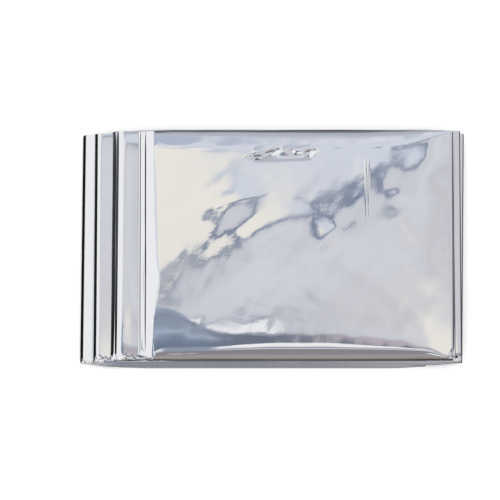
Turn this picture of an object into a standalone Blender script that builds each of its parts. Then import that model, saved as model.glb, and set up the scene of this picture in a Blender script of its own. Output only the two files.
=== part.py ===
"""A folded emergency foil blanket.

One sheet of metallised film, 1.3 by 2.1 metres, is gathered into sixteen plies across and doubled end to
end, which makes a thin strip of thirty-two plies. The strip is laid back and forth in nine layers. The
turns on the left step back one after another, so each fold shows on the ledge of the one below it. The
front edge of the top layer rolls over and hangs in front of the layers under it.

The origin is at the middle of the base, +X runs along the layers towards the ends on the right, +Y
points to the back and +Z points up. Lengths are in metres.
"""

import math
from typing import NamedTuple

import bmesh
import bpy

MM = 0.001

# The flat sheet, and how it is gathered into the strip.
SHEET_WIDTH = 1300 * MM
SHEET_LENGTH = 2100 * MM
PLIES_ACROSS = 16
PLIES_ALONG = 2
STRIP_WIDTH = SHEET_WIDTH / PLIES_ACROSS
STRIP_LENGTH = SHEET_LENGTH / PLIES_ALONG

# The strip as it is laid: its plies lie loosely, and its layers lie a little apart.
STRIP_THICKNESS = 1.05 * MM
LAYER_GAP = 0.3 * MM
LAYER_PITCH = STRIP_THICKNESS + LAYER_GAP
TURN_RADIUS = LAYER_PITCH / 2
LAYERS = 9
PACK_HEIGHT = STRIP_THICKNESS + (LAYERS - 1) * LAYER_PITCH
CROWN = 0.8 * MM


class Fold(NamedTuple):
    """One end of a layer, or the turn that joins two of them, all in millimetres but the crush."""

    reach: float  # outermost x at the middle of the strip's width; 0 is worked out from the length
    lean: float  # how much further to the right the front end reaches than the back end
    front_low: float  # y of the front edge there, on the layer below the turn
    front_high: float  # and on the layer above it
    back: float  # y of the back edge there
    crush: float  # share of the strip's thickness that the fold is pressed to


HIDDEN = 0.0

FOLDS = (
    Fold(reach=-54.0, lean=1.2, front_low=-41.0, front_high=-41.0, back=39.9, crush=0.85),
    Fold(reach=HIDDEN, lean=0.8, front_low=-40.8, front_high=-40.6, back=40.0, crush=0.80),
    Fold(reach=-65.9, lean=-0.8, front_low=-39.8, front_high=-39.8, back=40.3, crush=0.72),
    Fold(reach=65.85, lean=-0.9, front_low=-39.9, front_high=-39.7, back=40.6, crush=0.76),
    Fold(reach=-62.1, lean=-0.4, front_low=-39.8, front_high=-39.5, back=40.3, crush=0.72),
    Fold(reach=HIDDEN, lean=-0.8, front_low=-37.9, front_high=-37.8, back=41.0, crush=0.80),
    Fold(reach=-56.0, lean=-0.6, front_low=-39.5, front_high=-39.2, back=40.8, crush=0.72),
    Fold(reach=65.0, lean=0.3, front_low=-38.0, front_high=-37.6, back=40.7, crush=0.76),
    Fold(reach=-46.7, lean=0.0, front_low=-37.5, front_high=-39.4, back=40.5, crush=0.70),
    Fold(reach=62.7, lean=0.5, front_low=-39.4, front_high=-39.4, back=40.1, crush=0.80),
)


class Layer(NamedTuple):
    """The long edges of one layer between its folds, in millimetres."""

    front: float
    back: float


LAYER_EDGES = (
    Layer(front=-41.3, back=39.9),
    Layer(front=-41.0, back=40.2),
    Layer(front=-40.6, back=40.5),
    Layer(front=-40.2, back=40.8),
    Layer(front=-38.0, back=41.0),
    Layer(front=-37.8, back=41.2),
    Layer(front=-37.5, back=41.3),
    Layer(front=-37.2, back=40.9),
    Layer(front=-39.5, back=40.1),
)

# The front lip of the top layer: the edge rolls over and hangs down, and fades out at both corners.
LIP_FOOT_HEIGHT = 5.9 * MM
LIP_ROLL_RADIUS = 2.2 * MM
LIP_BEND = math.radians(81)
LIP_FADE_LEFT = (-45.5 * MM, -35.5 * MM)
LIP_FADE_RIGHT = (62.7 * MM, 52.7 * MM)
LIP_ROLL_STEPS = 4
LIP_WALL_STEPS = 2
LIP_LEAST = 0.35  # share of its full size below which the lip opens out flat

# How finely the strip is divided.
TURN_STEPS = 6
FOLD_EASE = 10.0 * MM  # a fold's own edges and thickness ease into its layer's over this length
FOLD_EASE_SHARES = (0.3, 0.65, 1.0)  # stations along that length
LAYER_MIDDLE_STEPS = 4
EDGE_STEP = 1.2 * MM  # the stations next to the long edges, where the strip thins out, are this far apart
EDGE_THICKNESS_SHARE = 0.6
WIDTH_MIDDLE_STEPS = 4

FOIL_COLOUR = (0.80, 0.81, 0.83, 1.0)
FOIL_ROUGHNESS = 0.12


class Station(NamedTuple):
    """One cross section of the folded strip."""

    x_back: float
    x_front: float
    z: float
    y_back: float
    y_front: float
    thickness_share: float
    on_top: bool


def smooth(share):
    """Eases a share that runs from 0 to 1, flat at both ends."""
    share = min(max(share, 0.0), 1.0)
    return share * share * (3 - 2 * share)


def mix(start, end, share):
    """Value at a share of the way from start to end."""
    return start + (end - start) * share


def side_of(index):
    """-1 for a fold on the left, 1 for one on the right: the strip starts on the left."""
    return -1 if index % 2 == 0 else 1


def is_turn(index):
    """True where the fold joins two layers, False at the strip's own two ends."""
    return 0 < index < len(FOLDS) - 1


def flat_end(index, reach):
    """Where the middle line of a layer stops, short of the outermost reach of its fold."""
    half_thickness = STRIP_THICKNESS * FOLDS[index].crush / 2
    turn = TURN_RADIUS + half_thickness if is_turn(index) else 0.0
    return reach - side_of(index) * turn


def hidden_reach():
    """Reach of the two hidden turns, which take up what the shown folds leave of the strip's length."""
    turns = len(FOLDS) - 2
    shown = sum(
        abs(flat_end(i, fold.reach * MM)) * (2 if is_turn(i) else 1)
        for i, fold in enumerate(FOLDS)
        if fold.reach != HIDDEN
    )
    rest = STRIP_LENGTH - shown - turns * math.pi * TURN_RADIUS
    hidden = [i for i, fold in enumerate(FOLDS) if fold.reach == HIDDEN]
    flat = rest / (2 * len(hidden))
    return flat + TURN_RADIUS + STRIP_THICKNESS * FOLDS[hidden[0]].crush / 2


def fold_ends(index):
    """x of the layers' ends at one fold, at the back and at the front edge."""
    fold = FOLDS[index]
    reach = fold.reach * MM if fold.reach != HIDDEN else hidden_reach()
    middle = flat_end(index, reach)
    return middle - fold.lean * MM / 2, middle + fold.lean * MM / 2


def layer_height(layer):
    """Height of a layer's middle surface."""
    return STRIP_THICKNESS / 2 + layer * LAYER_PITCH


def layer_stations(layer):
    """The cross sections of one flat layer, from its first fold to its second."""
    first, second = layer, layer + 1
    starts, ends = fold_ends(first), fold_ends(second)
    length = abs(ends[0] - starts[0])
    near = [share * FOLD_EASE / length for share in (0.0, *FOLD_EASE_SHARES)]
    inner = [mix(near[-1], 1 - near[-1], k / LAYER_MIDDLE_STEPS) for k in range(1, LAYER_MIDDLE_STEPS)]
    shares = near + inner + [1 - share for share in reversed(near)]
    edges = LAYER_EDGES[layer]
    stations = []
    for share in shares:
        nearest = FOLDS[first] if share < 0.5 else FOLDS[second]
        fold_front = nearest.front_high if share < 0.5 else nearest.front_low
        ease = smooth(min(share, 1 - share) * length / FOLD_EASE)
        stations.append(
            Station(
                x_back=mix(starts[0], ends[0], share),
                x_front=mix(starts[1], ends[1], share),
                z=layer_height(layer),
                y_back=mix(nearest.back, edges.back, ease) * MM,
                y_front=mix(fold_front, edges.front, ease) * MM,
                thickness_share=mix(nearest.crush, 1.0, ease),
                on_top=layer == LAYERS - 1,
            )
        )
    return stations


def turn_stations(index):
    """The cross sections round one turn, between the two layers that it joins."""
    fold = FOLDS[index]
    x_back, x_front = fold_ends(index)
    middle_height = layer_height(index - 1) + TURN_RADIUS
    stations = []
    for step in range(1, TURN_STEPS):
        angle = math.pi * step / TURN_STEPS
        out = side_of(index) * TURN_RADIUS * math.sin(angle)
        stations.append(
            Station(
                x_back=x_back + out,
                x_front=x_front + out,
                z=middle_height - TURN_RADIUS * math.cos(angle),
                y_back=fold.back * MM,
                y_front=mix(fold.front_low, fold.front_high, step / TURN_STEPS) * MM,
                thickness_share=fold.crush,
                on_top=False,
            )
        )
    return stations


def strip_stations():
    """Every cross section of the strip, from its lower end to its upper end."""
    stations = []
    for layer in range(LAYERS):
        if layer:
            stations += turn_stations(layer)
        stations += layer_stations(layer)
    return stations


def width_shares(y_back, y_front):
    """Places across the strip, from 0 at the back edge to 1 at the front, closer where it bends."""
    width = y_back - y_front
    edge = EDGE_STEP / width
    roll = LIP_ROLL_RADIUS * LIP_BEND / width
    wall = LIP_WALL_STEPS * edge
    roll_start = 1 - wall - roll
    middle = [mix(edge, roll_start, k / WIDTH_MIDDLE_STEPS) for k in range(1, WIDTH_MIDDLE_STEPS)]
    rolled = [mix(roll_start, 1 - wall, k / LIP_ROLL_STEPS) for k in range(LIP_ROLL_STEPS + 1)]
    hung = [mix(1 - wall, 1.0, k / LIP_WALL_STEPS) for k in range(1, LIP_WALL_STEPS + 1)]
    return [0.0, edge] + middle + rolled + hung


def lip_strength(x):
    """How fully the front lip hangs at x: 1 along the front, and 0 at the corners."""
    left = (x - LIP_FADE_LEFT[0]) / (LIP_FADE_LEFT[1] - LIP_FADE_LEFT[0])
    right = (x - LIP_FADE_RIGHT[0]) / (LIP_FADE_RIGHT[1] - LIP_FADE_RIGHT[0])
    return smooth(left) * smooth(right)


def lip_point(step, strength, flat_y, y_front, z):
    """Middle of the front lip at one step over its roll and down its wall, as y and z.

    A weak lip is a small one close to the front edge, and the weakest ones open out flat.
    """
    size = max(strength, LIP_LEAST)
    radius = LIP_ROLL_RADIUS * size
    full_roll_drop = LIP_ROLL_RADIUS * (1 - math.cos(LIP_BEND))
    wall_length = size * (z - full_roll_drop - LIP_FOOT_HEIGHT) / math.sin(LIP_BEND)
    angle = LIP_BEND * min(step / LIP_ROLL_STEPS, 1.0)
    down_wall = wall_length * max((step - LIP_ROLL_STEPS) / LIP_WALL_STEPS, 0.0)
    forward = radius * math.sin(angle) + down_wall * math.cos(LIP_BEND)
    drop = radius * (1 - math.cos(angle)) + down_wall * math.sin(LIP_BEND)
    reach = radius * math.sin(LIP_BEND) + wall_length * math.cos(LIP_BEND)
    lip_y = y_front + STRIP_THICKNESS / 2 + reach - forward
    rolled = smooth(strength / LIP_LEAST)
    return mix(flat_y, lip_y, rolled), z - rolled * drop


def crown_lift(x, y, z):
    """How far the loose film of the pack lifts a point: most at the middle of the top, none at the base."""
    half_length = max(abs(fold.reach) for fold in FOLDS) * MM
    half_width = STRIP_WIDTH / 2
    along = 1 - min(abs(x) / half_length, 1.0) ** 4
    across = 1 - min(abs(y) / half_width, 1.0) ** 4
    return CROWN * (z / PACK_HEIGHT) * along * across


def strip_point(station, shares, column):
    """One point of the strip's middle surface."""
    share = shares[column]
    x = mix(station.x_back, station.x_front, share)
    y = mix(station.y_back, station.y_front, share)
    z = station.z + (crown_lift(x, y, station.z) if station.z > LAYER_PITCH else 0.0)
    lip_start = len(shares) - 1 - LIP_ROLL_STEPS - LIP_WALL_STEPS
    if station.on_top and column >= lip_start:
        y, z = lip_point(column - lip_start, lip_strength(x), y, station.y_front, z)
    return x, y, z


def clear_scene():
    """Removes whatever the file holds, so that only the blanket is in it."""
    for thing in list(bpy.data.objects):
        bpy.data.objects.remove(thing, do_unlink=True)


def foil_material():
    """Bright metallised film."""
    material = bpy.data.materials.new("foil")
    material.use_nodes = True
    shader = material.node_tree.nodes["Principled BSDF"]
    shader.inputs["Base Color"].default_value = FOIL_COLOUR
    shader.inputs["Metallic"].default_value = 1.0
    shader.inputs["Roughness"].default_value = FOIL_ROUGHNESS
    return material


def middle_surface():
    """The strip's middle surface: a grid whose rows are laid along the folds, and each point's thickness."""
    stations = strip_stations()
    columns = len(width_shares(1.0, 0.0))
    cells_along, cells_across = len(stations) - 1, columns - 1
    bm = bmesh.new()
    bmesh.ops.create_grid(bm, x_segments=cells_along, y_segments=cells_across, size=0.5)
    thickness = []
    for vertex in bm.verts:
        station = stations[round((vertex.co.x + 0.5) * cells_along)]
        column = round((vertex.co.y + 0.5) * cells_across)
        shares = width_shares(station.y_back, station.y_front)
        vertex.co = strip_point(station, shares, column)
        at_long_edge = column in (0, cells_across)
        thickness.append(station.thickness_share * (EDGE_THICKNESS_SHARE if at_long_edge else 1.0))
    mesh = bpy.data.meshes.new("foil_blanket")
    bm.to_mesh(mesh)
    bm.free()
    return mesh, thickness


def make_blanket(collection):
    """The folded blanket: the middle surface of the strip, given the thickness of its plies."""
    mesh, thickness = middle_surface()
    mesh.materials.append(foil_material())
    mesh.shade_smooth()
    blanket = bpy.data.objects.new("foil_blanket", mesh)
    collection.objects.link(blanket)
    plies = blanket.vertex_groups.new(name="ply_thickness")
    for index, share in enumerate(thickness):
        plies.add([index], share, "REPLACE")
    solid = blanket.modifiers.new("film_plies", "SOLIDIFY")
    solid.thickness = STRIP_THICKNESS
    solid.offset = 0.0
    solid.use_even_offset = True
    solid.vertex_group = plies.name
    return blanket


def main():
    """Builds the blanket in its own collection."""
    clear_scene()
    collection = bpy.data.collections.new("folded_emergency_foil_blanket")
    bpy.context.scene.collection.children.link(collection)
    make_blanket(collection)


main()
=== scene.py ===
"""The looks of a folded emergency foil blanket.

One sheet of metallised film is gathered into sixteen plies and doubled end to end. The doubled strip is
laid back and forth in nine layers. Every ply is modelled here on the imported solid's folds, and the ply
on top carries the creases. Lengths are in millimetres until a mesh is made, and then in metres. Right is
x, the back is y, and angles in tables are in degrees.
"""

import logging
import math
from dataclasses import dataclass, field
from enum import Enum, IntEnum
from typing import NamedTuple

import bpy
import numpy as np
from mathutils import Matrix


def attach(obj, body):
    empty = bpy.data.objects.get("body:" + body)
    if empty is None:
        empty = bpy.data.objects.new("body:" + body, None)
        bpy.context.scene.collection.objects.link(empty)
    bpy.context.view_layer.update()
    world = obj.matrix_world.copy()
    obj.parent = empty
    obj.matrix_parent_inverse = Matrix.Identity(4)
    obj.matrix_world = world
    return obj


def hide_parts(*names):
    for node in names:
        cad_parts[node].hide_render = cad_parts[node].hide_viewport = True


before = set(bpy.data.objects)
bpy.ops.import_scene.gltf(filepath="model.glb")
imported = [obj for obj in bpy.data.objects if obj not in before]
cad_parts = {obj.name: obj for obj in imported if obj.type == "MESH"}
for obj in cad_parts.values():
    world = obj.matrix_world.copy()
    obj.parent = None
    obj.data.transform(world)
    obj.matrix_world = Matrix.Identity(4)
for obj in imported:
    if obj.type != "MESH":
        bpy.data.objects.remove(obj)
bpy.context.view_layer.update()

logging.basicConfig(level=logging.INFO, format="%(message)s")
log = logging.getLogger("foil_blanket")

Value = float | np.ndarray
Pair = tuple[float, float]
Colour = tuple[float, float, float]

MM = 0.001
NODE = "foil_blanket"
BODY = "root"

# The flat sheet, and how it is gathered.
SHEET_WIDTH = 1300.0
SHEET_LENGTH = 2100.0
PLIES_ACROSS = 16
STRIP_WIDTH = SHEET_WIDTH / PLIES_ACROSS

# The strip as it is laid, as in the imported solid.
STRIP_LENGTH = SHEET_LENGTH / 2
STRIP_THICKNESS = 1.05
HALF = STRIP_THICKNESS / 2
LAYER_PITCH = 1.35
TURN_RADIUS = LAYER_PITCH / 2
TURN_LENGTH = math.pi * TURN_RADIUS
LAYERS = 9
TOP = LAYERS - 1
TOP_MIDDLE = HALF + TOP * LAYER_PITCH
PACK_HEIGHT = STRIP_THICKNESS + TOP * LAYER_PITCH

# Where the plies lie in one bundle of sixteen, from the middle of the doubled strip.
OUTER_PLY = HALF
NEXT_PLY = 0.27
INNERMOST_PLY = 0.02
NOSE = (OUTER_PLY - INNERMOST_PLY) / 2

# A joint between two plies lies short of the strip's edge by an uneven amount. Each wave of it has its
# radians from joint to joint, its radians along the strip and its start.
SETBACK = 0.07
SETBACK_WAVES = ((2.1, 0.11, 0.0), (4.7, 0.047, 1.3))
BACK_JOINTS = 20  # added to the number of a joint at the back, so that it differs from the front ones
LAYER_STRIDE = 100.0  # how far apart two layers are counted along the strip, for the waves


class Fold(NamedTuple):
    """One end of a layer, or the turn that joins two of them."""

    reach: float  # outermost x; HIDDEN where it is worked out from the strip's length
    lean: float  # how much further to the right the front end reaches than the back end
    front_low: float  # y of the front edge there, below the turn
    front_high: float  # and above it
    back: float  # y of the back edge there
    crush: float  # share of the strip's thickness that the fold is pressed to


HIDDEN = 0.0

# The values follow the order of the fields, here and in the tables below.
FOLDS = (
    Fold(-54.0, 1.2, -41.0, -41.0, 39.9, 0.85),
    Fold(HIDDEN, 0.8, -40.8, -40.6, 40.0, 0.80),
    Fold(-66.4, -0.8, -39.8, -39.8, 40.3, 0.72),
    Fold(65.85, -0.9, -39.9, -39.7, 40.6, 0.76),
    Fold(-62.1, -0.4, -39.8, -39.5, 40.3, 0.72),
    Fold(HIDDEN, -0.8, -37.9, -37.8, 41.0, 0.80),
    Fold(-56.0, -0.6, -39.5, -39.2, 40.8, 0.85),
    Fold(65.0, 0.3, -38.0, -37.6, 40.7, 0.76),
    Fold(-46.7, 0.0, -37.5, -39.4, 40.5, 0.85),
    Fold(62.7, 0.5, -39.4, -39.4, 40.1, 0.80),
)


class Layer(NamedTuple):
    """The long edges of one layer between its folds."""

    front: float
    back: float


LAYER_EDGES = (
    Layer(-41.3, 39.9),
    Layer(-41.0, 40.2),
    Layer(-40.6, 40.5),
    Layer(-40.2, 40.8),
    Layer(-38.0, 41.0),
    Layer(-37.8, 41.2),
    Layer(-37.5, 41.3),
    Layer(-37.2, 40.9),
    Layer(-39.5, 40.1),
)
FOLD_EASE = 10.0  # how far from a fold the long edges ease from those of the layer to those of the fold


def mix(start: Value, end: Value, share: Value) -> Value:
    """Value at a share of the way from start to end."""
    return start + (end - start) * share


def smooth(share: Value) -> Value:
    """Eases a share that runs from 0 to 1, flat at both ends."""
    share = np.clip(share, 0.0, 1.0)
    return share * share * (3 - 2 * share)


def fallen(gone: Value, length: Value, first: float, last: float) -> Value:
    """How far a surface has fallen where its slope changes evenly over a length, from first to last."""
    return first * gone + (last - first) * gone * gone / (2 * length)


class Trace(NamedTuple):
    """Points along a curve: distance, two coordinates and heading in radians."""

    distance: np.ndarray
    forward: np.ndarray
    aside: np.ndarray
    heading: np.ndarray


class Bend(NamedTuple):
    """A curve by its heading, in degrees, at distances along it."""

    run: tuple[float, ...]
    heading: tuple[float, ...]

    def trace(self, samples: int = 400) -> Trace:
        """Walks along the curve.

        Args:
            samples: how many points to return.

        Returns:
            The points.
        """
        distance = np.linspace(0.0, self.run[-1], samples)
        heading = np.radians(np.interp(distance, self.run, self.heading))
        step = np.diff(distance, prepend=0.0)
        middle = np.radians(np.interp(distance - step / 2, self.run, self.heading))
        return Trace(distance, np.cumsum(np.cos(middle) * step), np.cumsum(np.sin(middle) * step), heading)


# The outer ply's course round each kind of fold, from its underside up to its top, as a left fold runs.
ROUND_FACE = Bend(run=(0.0, 3.3), heading=(180, 0))
RIGHT_FACE = Bend(run=(0.0, 0.45, 1.65, 1.85, 3.4), heading=(180, 84, 72, 16, 5))
FACES = {
    2: Bend(run=(0.0, 0.4, 2.1, 2.3, 3.0, 5.2, 6.5), heading=(180, 62, 52, 22, 13, 8, 3)),
    3: RIGHT_FACE,
    4: Bend(run=(0.0, 0.4, 2.1, 2.3, 3.2, 3.6, 8.5), heading=(180, 64, 54, 22, 12, -3, -3)),
    6: Bend(
        run=(0.0, 0.3, 0.5, 0.8, 0.95, 1.75, 1.9, 2.35, 2.5, 3.2, 3.4, 4.3, 5.2, 5.6, 9.4, 11.5),
        heading=(180, 64, 24, 22, 52, 50, 18, 16, 52, 48, 16, 10, 7, -3, -3, -2),
    ),
    7: RIGHT_FACE,
    8: Bend(
        run=(0.0, 0.3, 0.5, 0.6, 1.05, 1.15, 1.5, 1.6, 2.4, 2.5, 3.9, 4.1, 7.0),
        heading=(180, 78, 70, 16, 14, 62, 62, 16, 14, 54, 50, 20, 0),
    ),
}

# How far inside the outer ply's tip the inner ply turns.
INNER_TURN_INSET = {2: 1.4, 4: 1.5, 6: 2.0, 8: 2.4}
ROUND_TURN_INSET = 1.0

# How far from their front ends the folds on the left are pinched flat, and the share of height kept there.
PINCHES = {2: 2.6, 4: 2.9, 6: 3.4, 8: 2.0}
PINCHED = 0.25

# The front lip of the top layer: its middle line's course from where it leaves the flat, and where the
# lip fades out towards the layer's ends.
LIP = Bend(run=(0.0, 1.2, 2.0, 2.6, 4.2, 5.4, 6.4), heading=(0, 14, 50, 58, 66, 76, 86))
LIP_ZONE = 6.0
LIP_FADE_LEFT = (-45.5, -37.5)
LIP_FADE_RIGHT = (62.9, 51.5)
LIP_LEAST = 0.14


def halved_order(plies: int) -> list[int]:
    """Folds a row of plies in half until one stack is left.

    Args:
        plies: how many plies there are, a power of two.

    Returns:
        Each ply's place in the stack, counted from the outside.
    """
    stacks = [[ply] for ply in range(plies)]
    while len(stacks) > 1:
        half = len(stacks) // 2
        stacks = [low + high[::-1] for low, high in zip(stacks[:half], stacks[half:][::-1])]
    return [stacks[0].index(ply) for ply in range(plies)]


PLACES = halved_order(PLIES_ACROSS)


class Half(IntEnum):
    """The two halves that the strip is doubled from; the outer one is on top of the pack."""

    INNER = -1
    OUTER = 1


def ply_offset(ply: int) -> float:
    """Distance of a ply, counted across the flat sheet, from the middle of the doubled strip."""
    inside = mix(NEXT_PLY, INNERMOST_PLY, (PLACES[ply] - 1) / (PLIES_ACROSS - 2))
    return OUTER_PLY if PLACES[ply] == 0 else inside


@dataclass(frozen=True)
class Dent:
    """A soft hill in the top ply, or a hollow where its rise is negative."""

    x: float
    y: float
    along: float  # how far it spreads along its own length
    across: float  # and across it
    turn: float  # angle of its length, from the right round to the back
    rise: float

    def height(self, x: np.ndarray, y: np.ndarray) -> np.ndarray:
        """Works out its height.

        Args:
            x: x of the points.
            y: y of the points.

        Returns:
            The height at each point.
        """
        angle = math.radians(self.turn)
        dx, dy = x - self.x, y - self.y
        a = (dx * math.cos(angle) + dy * math.sin(angle)) / self.along
        b = (dy * math.cos(angle) - dx * math.sin(angle)) / self.across
        return self.rise * np.exp(-(a * a + b * b) / 2)


@dataclass(frozen=True)
class Crease:
    """A ridge along a line of points, or a trough where its rise is negative."""

    points: tuple[Pair, ...]
    half_width: float
    rise: float
    taper: float  # how far from either end it has its full rise

    def height(self, x: np.ndarray, y: np.ndarray) -> np.ndarray:
        """Works out its height.

        Args:
            x: x of the points.
            y: y of the points.

        Returns:
            The height at each point.
        """
        best = np.full(x.shape, np.inf)
        place = np.zeros(x.shape)
        start = 0.0
        for (ax, ay), (bx, by) in zip(self.points, self.points[1:]):
            length = math.hypot(bx - ax, by - ay)
            share = ((x - ax) * (bx - ax) + (y - ay) * (by - ay)) / length**2
            share = np.clip(share, 0.0, 1.0)
            gap = np.hypot(x - mix(ax, bx, share), y - mix(ay, by, share))
            closer = gap < best
            best = np.where(closer, gap, best)
            place = np.where(closer, start + share * length, place)
            start += length
        ends = smooth(np.minimum(place, start - place) / self.taper)
        side = np.clip(best / self.half_width, 0.0, 1.0)
        return self.rise * ends * (1 - side * side) ** 2


RIPPLE_SWAY = 0.8


class Ripple(NamedTuple):
    """A gentle wave across the top ply, with crests that sway."""

    length: float  # from crest to crest
    heading: float
    rise: float
    start: float  # in radians

    def height(self, x: np.ndarray, y: np.ndarray) -> np.ndarray:
        """Works out its height.

        Args:
            x: x of the points.
            y: y of the points.

        Returns:
            The height at each point.
        """
        heading = math.radians(self.heading)
        along = x * math.cos(heading) + y * math.sin(heading)
        across = y * math.cos(heading) - x * math.sin(heading)
        sway = RIPPLE_SWAY * np.sin(across / self.length + self.start)
        return self.rise * np.sin(math.tau * along / self.length + self.start + sway)


class Fall(NamedTuple):
    """How steeply a surface falls at distances past where it starts to."""

    run: tuple[float, ...]
    slope: tuple[float, ...]

    def drop(self, past: np.ndarray) -> np.ndarray:
        """Works out how far it has fallen.

        Args:
            past: distances past the start.

        Returns:
            The fall at each of them.
        """
        total = np.zeros(past.shape)
        for start, end, first, last in zip(self.run, self.run[1:], self.slope, self.slope[1:]):
            total += fallen(np.clip(past - start, 0.0, end - start), end - start, first, last)
        return total + self.slope[-1] * np.clip(past - self.run[-1], 0.0, None)


class Guide(NamedTuple):
    """A value that is given at rising places, and changes evenly between them."""

    places: tuple[float, ...]
    values: tuple[float, ...]

    def at(self, place: np.ndarray) -> np.ndarray:
        """The value at each place."""
        return np.interp(place, self.places, self.values)


class Contour(NamedTuple):
    """A line from left to right along which the top falls to the front at one slope."""

    slope: float
    x: tuple[float, ...]
    y: tuple[float, ...]

    def at(self, x: np.ndarray) -> np.ndarray:
        """y of the line at each x, with its corners rounded."""
        weights = ((-3.0, 0.1), (-1.5, 0.25), (0.0, 0.3), (1.5, 0.25), (3.0, 0.1))
        return sum(np.interp(x + shift, self.x, self.y) * weight for shift, weight in weights)


@dataclass(frozen=True)
class Relief:
    """How the pack's top swells, and where its top ply is creased."""

    shoulder: tuple[Contour, ...]  # how the front rounds down, from back to front
    dents: tuple[Dent, ...]
    creases: tuple[Crease, ...]
    ripples: tuple[Ripple, ...]
    crown: float = 1.3  # how high the pack swells in its middle
    crown_x: float = 8.0
    crown_half_length: float = 57.0
    crown_half_width: float = 43.0
    crown_fade: float = 1.3  # power of the height by which the swell fades towards the floor
    edge_fade: float = 3.5  # and by which the rounded edges do
    shoulder_ends: Pair = (-64.0, -56.0)  # x where the shoulder fades in
    # The rounding of the back edge: where it starts, by x, where it ends, and its shape.
    back_line: Guide = Guide((-64.0, 33.0, 45.0, 59.0), (34.0, 34.0, 35.2, 39.0))
    back_end: float = 40.4
    back: Fall = Fall(run=(0.0, 0.8, 4.5, 5.6, 6.4), slope=(0.0, 0.06, 0.13, 0.4, 1.0))
    # The slopes down to the right: of all the layers, and of the top one's end.
    right_start: float = 50.0
    right: Fall = Fall(run=(0.0, 13.0), slope=(0.0, 0.045))
    end_start: float = 61.6
    end_stop: float = 62.5
    end: Fall = Fall(run=(0.0, 0.6), slope=(0.0, 1.2))
    # The slope from the top layer down to its left fold: the crease beside it and how round it is, by y.
    bevel_line: Guide = Guide(
        (-38.0, -23.0, -11.5, -4.0, 10.0, 41.0), (-42.0, -41.0, -39.4, -40.5, -41.0, -41.5)
    )
    bevel_ease: Guide = Guide((-10.0, 2.0), (0.4, 3.0))
    bevel_slope: float = 0.17
    bevel_width: float = 5.0
    creased_left: Pair = (-46.0, 3.0)  # where the top ply's own creases end, and over what distance
    creased_right: Pair = (62.6, 1.5)
    creased_back: Pair = (41.0, 1.2)

    def swell(self, x: np.ndarray, y: np.ndarray) -> np.ndarray:
        """Works out the broad shape that all the layers share.

        Args:
            x: x of the points.
            y: y of the points.

        Returns:
            How far the top is lifted at each point.
        """
        along = np.clip(1 - ((x - self.crown_x) / self.crown_half_length) ** 2, 0.0, 1.0)
        across = np.clip(1 - (y / self.crown_half_width) ** 2, 0.0, 1.0)
        return self.crown * along * across - self.right.drop(x - self.right_start)

    def edges(self, x: np.ndarray, y: np.ndarray) -> np.ndarray:
        """Works out how the top rounds down towards its front and its back edge.

        Args:
            x: x of the points.
            y: y of the points.

        Returns:
            How far the top is lifted at each point, nowhere above 0.
        """
        total = np.zeros(x.shape)
        for first, last in zip(self.shoulder, self.shoulder[1:]):
            start = first.at(x)
            length = start - last.at(x)
            total += fallen(np.clip(start - y, 0.0, length), length, first.slope, last.slope)
        last = self.shoulder[-1]
        total += last.slope * np.clip(last.at(x) - y, 0.0, None)
        starts, ends = self.shoulder_ends
        back_start = self.back_line.at(x)
        stretch = self.back.run[-1] / (self.back_end - back_start)
        back = self.back.drop((y - back_start) * stretch) / stretch
        return -total * smooth((x - starts) / (ends - starts)) - back

    def bevel(self, x: np.ndarray, y: np.ndarray) -> np.ndarray:
        """Works out how the top layer slopes down to its left fold, past a crease, and to its right end.

        Args:
            x: x of the points.
            y: y of the points.

        Returns:
            How far the layer is lifted at each point, nowhere above 0.
        """
        line, ease = self.bevel_line.at(y), self.bevel_ease.at(y)
        past = np.clip(line - x + ease / 2, 0.0, self.bevel_width)
        left = self.bevel_slope * np.where(past < ease, past * past / (2 * ease), past - ease / 2)
        return -left - self.end.drop(np.minimum(x, self.end_stop) - self.end_start)

    def detail(self, x: np.ndarray, y: np.ndarray) -> np.ndarray:
        """Adds up the creases and dents of the top ply alone.

        Args:
            x: x of the points.
            y: y of the points.

        Returns:
            The height at each point.
        """
        total = np.zeros(x.shape)
        for shape in (*self.dents, *self.creases, *self.ripples):
            total += shape.height(x, y)
        (left, left_ease), (right, right_ease) = self.creased_left, self.creased_right
        back, back_ease = self.creased_back
        fade = smooth((x - left) / left_ease) * smooth((right - x) / right_ease)
        return total * (fade * smooth((back - y) / back_ease))


@dataclass
class Row:
    """One cross section of the strip: x and z on either side of it, and how it lies from back to front."""

    inner_side: Pair  # the side of the strip's inner half
    outer_side: Pair  # and of its outer half
    lean: float
    y_back: float
    y_front: float
    path: float  # place along the strip, for the waves of the setback
    on_top: bool = False
    base: float = 0.0  # height that a pinch presses it down to
    pinch: float = 0.0  # how far from its front end it is pinched


class Columns(NamedTuple):
    """Places across the gathered sheet: one of them, or arrays of them all."""

    flat: Value  # share of the way from the back edge to where the front lip starts
    lip: Value  # share of the way down the lip
    over_front: Value  # how far it runs past the front end of the flat ply
    over_back: Value  # and past its back end
    offset: Value  # distance from the middle of the doubled strip
    front_joint: Value  # number of the joint between two plies at its front end
    back_joint: Value  # and at its back end
    width: Value  # place across the flat sheet


def ply_columns(ply: int, flats: np.ndarray | tuple[float, ...], lips: np.ndarray) -> list[Columns]:
    """Lists the places across one ply.

    Args:
        ply: which ply.
        flats: shares from the back edge to the start of the lip, rising.
        lips: shares down the lip, rising, without its start.

    Returns:
        The places, the way that the sheet runs.
    """
    to_front = ply % 2 == 0
    lip_share = LIP_ZONE / STRIP_WIDTH
    places = [(share, 0.0) for share in flats] + [(1.0, share) for share in lips]
    columns = []
    for flat, lip in places if to_front else places[::-1]:
        across = flat * (1 - lip_share) + lip * lip_share
        width = (ply + (across if to_front else 1 - across)) * STRIP_WIDTH
        columns.append(Columns(flat, lip, 0.0, 0.0, ply_offset(ply), ply // 2, (ply + 1) // 2, width))
    return columns


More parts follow.
